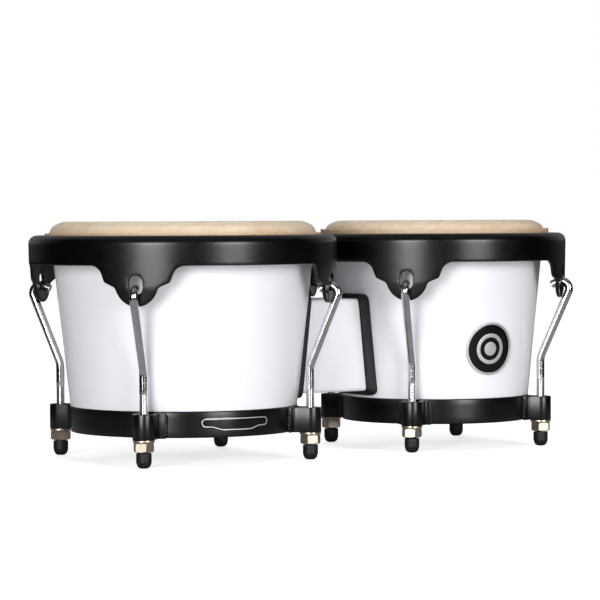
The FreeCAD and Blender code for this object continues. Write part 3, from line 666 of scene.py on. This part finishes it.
def make_roll(drum):
    """The hide lapped round the hoop, its trimmed end standing up inside the rim."""
    centre = drum.wall_radius(ROLL_HEIGHT) + SKIRT + ROLL_GAP + ROLL_RADIUS
    middle, tail, top = ROLL_RADIUS - LAP / 2, drum.edge_radius + SKIRT + LAP_GAP, LAP_TOP[drum.name]
    turns = [math.radians(170 + step * 10) for step in range(34)]
    line = [Vector((centre + middle * math.cos(turn), ROLL_HEIGHT + middle * math.sin(turn)))
            for turn in turns]
    line = [p for p in line if not (p.x < tail + 2 and p.y > ROLL_HEIGHT + 3.5)]
    line += [Vector((tail + 0.9, ROLL_HEIGHT + 4.6)), Vector((tail, ROLL_HEIGHT + 6)),
             Vector((tail, (ROLL_HEIGHT + 6 + top) / 2)), Vector((tail, top))]
    profile = inset(line, LAP / 2, False) + inset(line, -LAP / 2, False)[::-1]
    count = len(line)
    rng = random.Random(31 + len(drum.name))
    frays = [(rng.randint(20, 140), rng.uniform(0, TURN), rng.uniform(0.05, 0.22)) for _ in range(10)]

    def wobble(index, angle, radius, height):
        level = index if index < count else 2 * count - 1 - index
        share = max(0, level - (count - 4)) / 3
        push = sum(size * math.sin(number * angle + phase) for number, phase, size in frays)
        return radius + 0.5 * share * push, height + share * (0.9 * push - 0.25)

    shape = lathe([tuple(p) for p in profile], 360, place=drum.place, wobble=wobble)
    finish_piece(drum.name + "_hide_lap", shape, "hide", [drum.name + "_skin_roll"],
                 drum.name + "_rim_set", 60, "hide_edge")


def ear_chain(drum):
    """Lower edge of a quarter of the rim, from one lug's side to the other: (arc length, height)."""
    centre = RIM_BASE - drum.ear_base - LOBE_RADIUS
    side = [p for p in rounded([(drum.rim_radius * TURN / 8, 0, 0), *EAR], False, 0.5)
            if math.hypot(p.x, p.y - centre) > LOBE_RADIUS or p.y < centre]
    start, pieces = math.atan2(side[-1].y - centre, side[-1].x), 34
    turns = [start + (math.pi - 2 * start) * step / pieces for step in range(1, pieces)]
    lobe = [Vector((LOBE_RADIUS * math.cos(turn), centre + LOBE_RADIUS * math.sin(turn))) for turn in turns]
    mirror = [Vector((-p.x, p.y)) for p in reversed(side)]
    return [Vector((p.x, RIM_BASE - p.y)) for p in side + lobe + mirror]


def make_rim(drum):
    """Pressed counterhoop: rounded rim, side wall and four slotted ears, all of one sheet."""
    soft, turn = 0.75, SLOT_HALF - 0.01
    pieces, quarter = RIM_STEPS // 4, drum.rim_radius * TURN / 8
    middle = [p for p in reversed(ear_chain(drum)) if abs(p.x) < quarter - 1]
    chain = spaced([Vector((-quarter, RIM_BASE)), *middle, Vector((quarter, RIM_BASE))], 2.6, False)
    top = [Vector((quarter - 2 * quarter * i / pieces, RIM_JOIN)) for i in range(pieces + 1)]
    corners = [(SLOT_HALF, SLOT_BASE), (-SLOT_HALF, SLOT_BASE), (-SLOT_HALF, SLOT_TOP), (SLOT_HALF, SLOT_TOP)]
    slot = spaced(rounded([(*corner, turn) for corner in corners], True, 0.6), 0.9)

    def chain_at(amount):
        moved = inset(chain, amount, False)
        moved[0] = Vector((-quarter, RIM_BASE + amount))
        moved[-1] = Vector((quarter, RIM_BASE + amount))
        return moved

    def slot_at(amount):
        return inset(slot, amount)

    outline = chain_at(soft) + top
    filled = fill([outline, slot_at(soft)], 2.2)
    edges = ((0, chain_at, False), (len(outline), slot_at, True))
    parts = []
    for lug in LUG_ANGLES:
        def place(u, v, depth):
            return drum.point(drum.rim_outside(v) - depth, lug + u / drum.rim_radius, v)
        parts.append(plate(filled, edges, RIM_WALL, place, soft_levels(soft, RIM_WALL, 4)))

    lip, side = drum.edge_radius + SKIRT + RIM_CLEARANCE, drum.rim_outside(RIM_JOIN)
    outer, high = drum.rim_radius, drum.rim_top
    corners = [
        (side, RIM_JOIN, 0), (outer, high, RIM_ROUND), (lip, high, 1.3), (lip, high - RIM_WALL, 1.3),
        (outer - RIM_WALL, high - RIM_WALL, RIM_ROUND - RIM_WALL), (side - RIM_WALL, RIM_JOIN, 0),
    ]
    vertices, rings = [], []
    for radius, height in spaced(rounded(corners, False), 3, False):
        rings.append(range(len(vertices), len(vertices) + RIM_STEPS))
        vertices += [drum.point(radius, LUG_ANGLES[0] + TURN * step / RIM_STEPS + TURN / 8, height)
                     for step in range(RIM_STEPS)]
    parts.append((vertices, walls(rings)))
    finish_piece(drum.name + "_rim_pressed", joined(parts), "black_steel", [drum.name + "_rim"],
                 drum.name + "_rim_set", 50)


def arc_points(centre, radius, start, end, pieces):
    turns = [start + (end - start) * i / pieces for i in range(pieces + 1)]
    return [Vector((centre[0] + radius * math.cos(t), 0, centre[1] + radius * math.sin(t))) for t in turns]


def rod_path(drum):
    """Centre line of a rod in its lug's plane: (radial, 0, up)."""
    place = drum.rod_place
    bend = (drum.rim_radius - (drum.rim_top - HOOK_HEIGHT) * RIM_DRAFT - RIM_WALL / 2, HOOK_HEIGHT)
    across, rise = bend[0] - place, bend[1] - ROD_KNEE
    lean = math.atan2(across, rise) + math.asin(HOOK_RADIUS / math.hypot(across, rise))
    knee = ROD_KNEE - KNEE_RADIUS * math.tan(lean / 2)
    dip = math.radians(TAIL_DIP)
    rows = int((THREAD_TOP - ROD_BASE) / THREAD_PITCH * 8)
    path = [Vector((place, 0, ROD_BASE + (THREAD_TOP - ROD_BASE) * i / rows)) for i in range(rows + 1)]
    path += [Vector((place, 0, THREAD_TOP + (knee - THREAD_TOP) * i / 4)) for i in (1, 2, 3)]
    path += arc_points((place + KNEE_RADIUS, knee), KNEE_RADIUS, math.pi, math.pi - lean, 8)
    hook = arc_points(bend, HOOK_RADIUS, -lean, math.pi / 2 + dip, 22)
    start = path[-1]
    path += [start.lerp(hook[0], i / 12) for i in range(1, 12)] + hook
    away = Vector((-math.cos(dip), 0, -math.sin(dip)))
    return path + [hook[-1] + away * (TAIL_LENGTH * i / 4) for i in range(1, 5)]


def make_rods(drum):
    """Four hooked rods with rolled threads; the thread is within the rod where the nut runs."""
    path = rod_path(drum)

    def surface(index, angle):
        height = path[index].z
        if height > THREAD_TOP:
            return ROD_RADIUS
        fade = min(1, (THREAD_TOP - height) / 1.5)
        turn = (height / THREAD_PITCH + angle / TURN) % 1
        crest = ROD_RADIUS if height < NUT_TRAVEL else THREAD_CREST
        return ROD_RADIUS + fade * (crest - ROD_RADIUS - (crest - THREAD_ROOT) * abs(2 * turn - 1))

    shape = at_every_lug(drum, tube(path, Vector((0, 1, 0)), 24, surface))
    finish_piece(drum.name + "_rods_threaded", shape, "chrome_rod", [drum.name + "_hook_rods"],
                 drum.name + "_rim_set", 40)


def make_caps(drum):
    """Four domed rubber foot caps."""
    corners = [
        (0, 0, 0), (CAP_FLAT, 0, 1.2), (CAP_RADIUS - 0.9, 1.3, 2.0), (CAP_RADIUS, CAP_DOME, 1.5),
        (CAP_RADIUS, drum.cap_top, 0.6), (CAP_BORE, drum.cap_top, 0.4), (CAP_BORE, ROD_BASE - 0.2, 0),
        (0, ROD_BASE - 0.2, 0),
    ]
    profile = spaced(rounded(corners, False, 0.2), 1.2, False)
    shape = at_every_lug(drum, lathe([tuple(p) for p in profile], 48, closed=False, place=drum.rod_place))
    finish_piece(drum.name + "_caps_rubber", shape, "rubber_black", [drum.name + "_foot_caps"],
                 drum.name + "_rim_set")


def make_nuts(drum):
    """The four tuning nuts, each on its own body: chamfered hexagons with countersunk bores."""
    steps, crown, slope = 96, NUT_FLATS / 2 * 0.97, math.tan(math.radians(NUT_SLOPE))
    vertices, rings = [], []
    for step in range(steps):
        angle = TURN * step / steps
        corner = NUT_FLATS / 2 / math.cos((angle + math.pi / 6) % (math.pi / 3) - math.pi / 6)
        cut = max(0.0, corner - crown) * slope + 0.02
        half = [(NUT_BORE, NUT_MOUTH), (NUT_BORE + NUT_MOUTH, 0), (crown, 0),
                (corner - NUT_SOFT, cut - NUT_SOFT * slope), (corner, cut + NUT_SOFT)]
        section = [(radius, drum.nut_base + depth) for radius, depth in half] + \
            [(radius, drum.nut_top - depth) for radius, depth in reversed(half)]
        rings.append(range(len(vertices), len(vertices) + len(section)))
        vertices += [(drum.rod_place + radius * math.cos(angle), radius * math.sin(angle), height)
                     for radius, height in section]
    for lug, angle in enumerate(LUG_ANGLES):
        name = "%s_nut_%d" % (drum.name, lug + 1)
        shape = at_lug(drum, angle, (vertices, walls(rings + rings[:1])))
        finish_piece(name + "_plated", shape, "nickel_fastener", [name], name + "_body", 30)


def make_washers(drum):
    corners = [(WASHER_HOLE, WASHER_BASE, 0.2), (WASHER_RADIUS, WASHER_BASE, 0.35),
               (WASHER_RADIUS, STRAP_BASE, 0.35), (WASHER_HOLE, STRAP_BASE, 0.2)]
    shape = lathe([tuple(p) for p in rounded(corners, True, 0.15)], 72, place=drum.rod_place)
    finish_piece(drum.name + "_washers_plated", at_every_lug(drum, shape), "nickel_fastener",
                 [drum.name + "_lug_washers"])


def make_ring(drum):
    """Bottom ring with rolled edges and its inward lip."""
    inner = drum.base_radius - REBATE + SEAT_GAP
    lip = drum.wall_radius(drum.ring_base) - WALL
    low, high, outer = drum.ring_base, drum.ring_top, drum.ring_radius
    corners = [(lip, low, 0.6), (outer, low, 1.0), (outer, high, 0.7), (inner, high, 0.4),
               (inner, low + RING_LIP, 0.3), (lip, low + RING_LIP, 0.6)]
    shape = lathe([tuple(p) for p in spaced(rounded(corners, True, 0.3), 4)], 192, place=drum.place)
    finish_piece(drum.name + "_ring_painted", shape, "black_steel", [drum.name + "_bottom_ring"])


def weld_bead(rng, place, across):
    """A bead of overlapping puddles up the edge of a strap's foot."""
    last = 45
    bead = [Vector((place, across, z)) for z in np.linspace(STRAP_BASE + 1.2, STRAP_TOP - 1.2, last + 1)]
    phase = rng.uniform(0, 1)
    sizes = [rng.uniform(0.8, 1.15) for _ in range(12)]

    def surface(index, angle):
        beat = (bead[index].z - STRAP_BASE) / 2.1 + phase
        swell = abs(math.sin(math.pi * beat))
        taper = min(1, index / 5 + 0.35, (last - index) / 5 + 0.35)
        return 1.35 * taper * sizes[int(beat) % 12] * (0.72 + 0.28 * swell)

    return tube(bead, Vector((0, 1, 0)), 14, surface, 0.3)


def make_brackets(drum):
    """Four straps bent round the rods, their spread feet welded to the ring."""
    ring = drum.ring_radius + SEAT_GAP / 3
    band, outer, inner = ring + STRAP_WALL, STRAP_RADIUS, STRAP_RADIUS - STRAP_WALL
    far, centre = outer + STRAP_FOOT, drum.rod_place

    def on_circle(radius, across, turn):
        return math.sqrt(radius ** 2 - across ** 2), across, turn

    half = [on_circle(ring, inner, 0.6), on_circle(ring, far * 0.8, 0), on_circle(ring, far, 0.6),
            on_circle(band, far, 0.7), on_circle(band, outer, 1.6), (centre + outer, outer, outer - 0.02)]
    corners = [(x, -y, turn) for x, y, turn in half] + half[::-1] + \
        [(centre + inner, side * inner, inner - 0.02) for side in (1, -1)]
    strap = slab([spaced(rounded(corners, True, 0.6), 2.5)], STRAP_TOP - STRAP_BASE,
                 lambda u, v, depth: Vector((u, v, STRAP_TOP - depth)), 0.45, 1.6)
    rng = random.Random(7 + len(drum.name))
    parts = []
    for lug in LUG_ANGLES:
        parts.append(at_lug(drum, lug, strap))
        for side in (-1, 1):
            bead = weld_bead(rng, on_circle(ring + 0.5, far, 0)[0], side * (far - 0.1))
            parts.append(at_lug(drum, lug, bead))
    finish_piece(drum.name + "_brackets_welded", joined(parts), "black_steel",
                 [drum.name + "_lug_brackets"], sharp=45)


# ---------------- centre block and small pieces

def block_side(drum, height):
    """X of the block's face towards a drum, at a height."""
    toward = 1 if drum is hembra else -1
    return drum.place + toward * (drum.wall_radius(height) + PAD + SEAT_GAP)


def box_outline(node, half, corner, step):
    """Closed outline (y, z) of a CAD node's cross-section."""
    low, high = (end.z for end in box_mm(node))
    corners = [(-half, low, corner), (half, low, corner), (half, high, corner), (-half, high, corner)]
    return spaced(rounded(corners, True, 0.5), step)


def make_block():
    """Centre block: rounded long edges, softened ends that lean with the shells."""
    thick = 10.0

    def place(y, z, depth):
        """The even thickness is stretched between the two ends, but for their softened edges."""
        near, far = min(depth, BLOCK_SOFT), min(thick - depth, BLOCK_SOFT)
        share = min(1, max(0, (depth - BLOCK_SOFT) / (thick - 2 * BLOCK_SOFT)))
        x = (block_side(macho, z) - near) * (1 - share) + (block_side(hembra, z) + far) * share
        return Vector((x, y, z))

    shape = slab([box_outline("centre_block", BLOCK_HALF, 3.0, 3.5)], thick, place, BLOCK_SOFT, 3.5, 4, 4)
    finish_piece("centre_block_moulded", shape, "white_abs", ["centre_block"])


def make_pad(drum):
    """Rubber pad: flat to the block, hollowed to the shell, softened all round."""
    node = drum.name + "_block_pad"
    toward = 1 if drum is hembra else -1

    def place(y, z, depth):
        flat = drum.wall_radius(z) + PAD
        hollow = math.sqrt((drum.wall_radius(z) + SEAT_GAP) ** 2 - y ** 2)
        reach = flat - min(depth, flat - hollow) if depth < PAD / 2 else hollow + max(0, PAD - depth)
        return Vector((drum.place + toward * reach, y, z))

    shape = slab([box_outline(node, PAD_HALF, 5.0, 3.0)], PAD, place, 0.7, 2.6)
    finish_piece(node + "_moulded", shape, "rubber_black", [node])


def on_front(drum, radius_at, lift, turn=0.0):
    """Bends a flat plate round the drum's front, lifted off a surface of the given radius."""
    def place(u, v, depth):
        radius = radius_at(v)
        return drum.point(radius + lift - depth, math.radians(turn - 90) + u / radius, v)
    return place


def disc(radius, steps=96):
    """A badge's circle, anticlockwise."""
    turns = [TURN * i / steps for i in range(steps)]
    return [Vector((radius * math.cos(t), BADGE_HEIGHT + radius * math.sin(t))) for t in turns]


def make_badge():
    """Round badge: black face, raised metal rim, and a plain ring-and-disc emblem."""
    face, line = BADGE_THICK * 0.7, 0.2

    def on_wall(lift):
        return on_front(macho, macho.wall_radius, SEAT_GAP + lift)

    finish_piece("macho_badge_lacquered", slab([disc(BADGE_FACE - 0.1)], face, on_wall(face), 0.15, 2),
                 "badge_face", ["macho_badge"])
    rim = slab([disc(BADGE_RADIUS), disc(BADGE_FACE)[::-1]], BADGE_THICK, on_wall(BADGE_THICK), 0.35, 1.2)
    finish_piece("macho_badge_rim_pressed", rim, "badge_metal", ["macho_badge_rim"])
    emblem = [slab(loops, line, on_wall(face + 0.15), 0.06, 1.5)
              for loops in ([disc(11.2), disc(8.4)[::-1]], [disc(5.0, 64)])]
    finish_piece("macho_badge_emblem", joined(emblem), "badge_metal")


def make_label():
    """Plain obround plate on the ring's front, with a raised metal edge line."""
    face, line = LABEL_THICK * 0.75, 0.2

    def on_ring(lift):
        return on_front(hembra, lambda height: hembra.ring_radius + SEAT_GAP, lift, LABEL_TURN)

    def pill(shrink):
        half, top = LABEL_HALF - shrink, LABEL_HEIGHT + LABEL_HALF_HEIGHT - shrink
        floor, belly = top - LABEL_END + 2 * shrink, LABEL_HEIGHT - LABEL_HALF_HEIGHT + shrink
        corner = LABEL_END / 2 - shrink - 0.02
        return spaced(rounded([
            (-half, floor, corner), (-BELLY_ENDS, floor, 5), (-BELLY_HALF, belly, 14),
            (BELLY_HALF, belly, 14), (BELLY_ENDS, floor, 5), (half, floor, corner),
            (half, top, corner), (-half, top, corner),
        ], True, 0.5), 2.0)

    finish_piece("hembra_plate_lacquered", slab([pill(0)], face, on_ring(face), 0.2, 2.0), "badge_face",
                 ["hembra_ring_plate"])
    finish_piece("hembra_plate_edge_line",
                 slab([pill(0.75), pill(1.45)[::-1]], line, on_ring(face + 0.12), 0.05, 1.5), "badge_metal")


def keep_cad(node, slot):
    """A CAD node whose shape is right gets its material."""
    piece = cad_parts[node]
    piece.data.materials.clear()
    piece.data.materials.append(MATERIALS[slot])


hembra, macho = Drum("hembra"), Drum("macho")
for drum in (hembra, macho):
    for make in (make_shell, make_head, make_roll, make_rim, make_rods, make_caps, make_nuts,
                 make_washers, make_ring, make_brackets, make_pad):
        make(drum)
    keep_cad(drum.name + "_flesh_hoop", "bare_steel")
    keep_cad(drum.name + "_bolt_plate", "black_abs")
make_block()
make_badge()
make_label()
keep_cad("block_bolts", "zinc_bolt")
keep_cad("block_nuts", "zinc_bolt")


# ---------------- stage, light and camera

def make_stage():
    """A plain white floor: lit and bright to the camera, and to reflections a pale patch under the
    drums that goes off into the dark."""
    half = 30000
    floor = make_mesh("floor", [(-half, -half, 0), (half, -half, 0), (half, half, 0), (-half, half, 0)],
                      [(0, 1, 2, 3)])
    floor.location.z = -0.2 * MM
    paint = Paint("floor", (0.8, 0.8, 0.8, 1), 0.9)
    distance = paint.math("LENGTH", paint.place, node="ShaderNodeVectorMath")
    far = paint.spread(distance, 0.0, 1.0, 0.7, 2.0, smooth=True)
    near = paint.spread(distance, 0.0, 1.0, 0.3, 0.75, smooth=True)
    paint.colour(paint.ramp(far, (0.0, 0.8), (1.0, 0.3)))
    paint.shader.inputs["Specular IOR Level"].default_value = 0.0
    glow, lit = paint.node("ShaderNodeEmission"), paint.node("ShaderNodeAddShader")
    paint.link(paint.spread(far, 0.7, 1.0), glow.inputs["Strength"])
    paint.link(paint.shader.outputs[0], lit.inputs[0])
    paint.link(glow.outputs[0], lit.inputs[1])
    dark = paint.node("ShaderNodeBsdfDiffuse")
    paint.link(paint.ramp(near, (0.0, 0.38), (1.0, 0.01)), dark.inputs["Color"])
    mirrored = paint.by_ray("Is Glossy Ray", paint.shader.outputs[0], dark.outputs[0])
    seen = paint.by_ray("Is Camera Ray", mirrored, lit.outputs[0])
    paint.link(seen, paint.tree.nodes["Material Output"].inputs["Surface"])
    floor.data.materials.append(paint.material)


def softbox(name, azimuth, distance, height, size, power, gloss=True):
    """A rectangular lamp, aimed at the drums, at a compass angle from +X. Without gloss it lights
    the drums and isn't mirrored in them."""
    light = bpy.data.lights.new(name, "AREA")
    light.shape = "RECTANGLE"
    light.size, light.size_y = size
    light.energy = power
    lamp = bpy.data.objects.new(name, light)
    lamp.visible_glossy = gloss
    bpy.context.scene.collection.objects.link(lamp)
    angle = math.radians(azimuth)
    lamp.location = (distance * math.cos(angle), distance * math.sin(angle), height)
    lamp.rotation_euler = (Vector((0, 0, 0.09)) - lamp.location).to_track_quat("-Z", "Y").to_euler()


def make_world():
    """White all round for the camera. For the rest: a white backdrop, a pale ceiling, a dark front."""
    world = bpy.data.worlds.new("studio")
    bpy.context.scene.world = world
    world.use_nodes = True
    world.node_tree.nodes.clear()
    sky = Nodes(world.node_tree)
    place = sky.node("ShaderNodeTexCoord").outputs["Generated"]

    def glow(direction, dim, bright, strength):
        """A glow about a direction, from nothing at one cosine to its full strength at another."""
        facing = sky.math("DOT_PRODUCT", place, direction, node="ShaderNodeVectorMath")
        return sky.spread(facing, 0.0, strength, dim, bright, smooth=True)

    backdrop, ceiling = glow((0.504, 0.864, 0), 0.3, 0.8, 0.28), glow((0, 0, 1), 0.55, 0.9, 0.2)
    room, white = (sky.node("ShaderNodeBackground", Color=(1.0, 1.0, 1.0, 1)) for _ in range(2))
    sky.link(sky.math("ADD", sky.math("ADD", backdrop, ceiling), 0.004), room.inputs["Strength"])
    seen = sky.by_ray("Is Camera Ray", room.outputs[0], white.outputs[0])
    sky.link(seen, sky.node("ShaderNodeOutputWorld").inputs["Surface"])


def make_camera():
    """Low, level and far away, turned thirty degrees off the pair's front."""
    camera = bpy.data.objects.new("camera", bpy.data.cameras.new("camera"))
    camera.data.sensor_width = 36
    camera.data.lens = 165.1
    camera.data.clip_end = 100
    bpy.context.scene.collection.objects.link(camera)
    yaw, pitch, roll = math.radians(30.29), math.radians(1.65), math.radians(-0.26)
    stand = Vector(((hembra.place - 917.8) * MM, -1.7363, 0.1683))
    turn = Matrix.Rotation(-yaw, 4, "Z") @ Matrix.Rotation(math.pi / 2 - pitch, 4, "X") @ \
        Matrix.Rotation(roll, 4, "Z")
    camera.matrix_world = Matrix.Translation(stand) @ turn
    bpy.context.scene.camera = camera


make_stage()
make_world()
softbox("key_left", -142, 2.2, 0.46, (0.78, 0.85), 30)
softbox("key_right", -84, 2.2, 0.5, (0.85, 0.85), 28)
softbox("overhead", -110, 0.8, 2.4, (1.6, 1.6), 12, gloss=False)
softbox("fill_back", 70, 2.6, 1.5, (1.8, 1.2), 26, gloss=False)
make_camera()
bpy.context.scene.view_settings.view_transform = "Standard"
